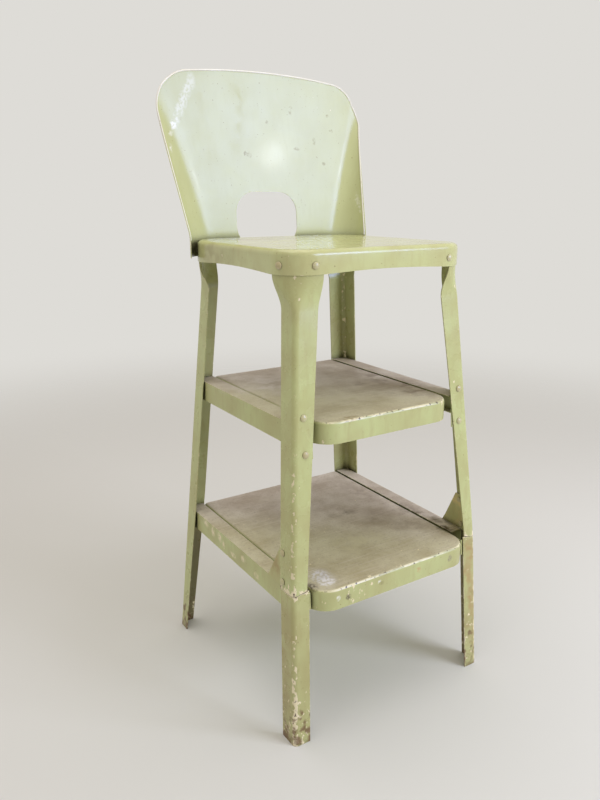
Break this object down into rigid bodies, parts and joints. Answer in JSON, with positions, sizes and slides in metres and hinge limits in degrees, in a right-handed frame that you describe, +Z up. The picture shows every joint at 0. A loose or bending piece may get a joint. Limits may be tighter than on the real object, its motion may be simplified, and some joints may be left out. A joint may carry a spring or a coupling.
{
  "type": "baby high chair",
  "caption": "Child's high chair of pressed sheet steel with a square seat, a bent sheet back with a hand hole, splayed angle legs and pull-out steps.",
  "frame": {"origin": "on the floor, under the middle of the chair's bounding box", "axes": "+Z up from the feet to the backrest, -Y towards the front that the child's feet face, +X to the right seen from the front"},
  "size_m": [0.3468, 0.3448, 0.8525],
  "materials": {
    "green_enamel": "glossy pale green enamel over cream primer, chipped along the edges",
    "backrest_enamel": "glossy pale green enamel, bleached on the inner face",
    "worn_step_enamel": "green enamel worn to a dull grey-brown on top by feet",
    "rivet_paint": "painted over domed rivet heads"
  },
  "bodies": {
    "frame": {"back_left_leg": "green_enamel", "back_right_leg": "green_enamel", "backrest": "backrest_enamel", "backrest_left_rivet_1": "rivet_paint", "backrest_left_rivet_2": "rivet_paint", "backrest_right_rivet_1": "rivet_paint", "backrest_right_rivet_2": "rivet_paint", "front_left_upper_leg": "green_enamel", "front_right_upper_leg": "green_enamel", "lower_left_ear_rivet": "rivet_paint", "lower_left_ear_tip_rivet": "rivet_paint", "lower_left_rail": "green_enamel", "lower_left_rail_rivet": "rivet_paint", "lower_right_ear_rivet": "rivet_paint", "lower_right_ear_tip_rivet": "rivet_paint", "lower_right_rail": "green_enamel", "lower_right_rail_rivet": "rivet_paint", "middle_left_bracket": "green_enamel", "middle_left_bracket_rivet_1": "rivet_paint", "middle_left_bracket_rivet_2": "rivet_paint", "middle_left_rail": "green_enamel", "middle_left_rail_rivet": "rivet_paint", "middle_right_bracket": "green_enamel", "middle_right_bracket_rivet_1": "rivet_paint", "middle_right_bracket_rivet_2": "rivet_paint", "middle_right_rail": "green_enamel", "middle_right_rail_rivet": "rivet_paint", "seat_left_rivet_1": "rivet_paint", "seat_left_rivet_2": "rivet_paint", "seat_pan": "green_enamel", "seat_right_rivet_1": "rivet_paint", "seat_right_rivet_2": "rivet_paint"},
    "middle_step": {"middle_step": "worn_step_enamel"},
    "lower_step": {"lower_step": "worn_step_enamel", "front_left_lower_leg": "green_enamel", "front_right_lower_leg": "green_enamel", "lower_left_leg_bracket": "green_enamel", "lower_right_leg_bracket": "green_enamel"}
  },
  "joints": [
    {"name": "middle_step_slide", "type": "slide", "parent": "frame", "child": "middle_step", "axis": [0, -1, 0], "range_m": [0, 0.1]},
    {"name": "lower_step_slide", "type": "slide", "parent": "frame", "child": "lower_step", "axis": [0, -1, 0], "range_m": [0, 0.15]}
  ]
}
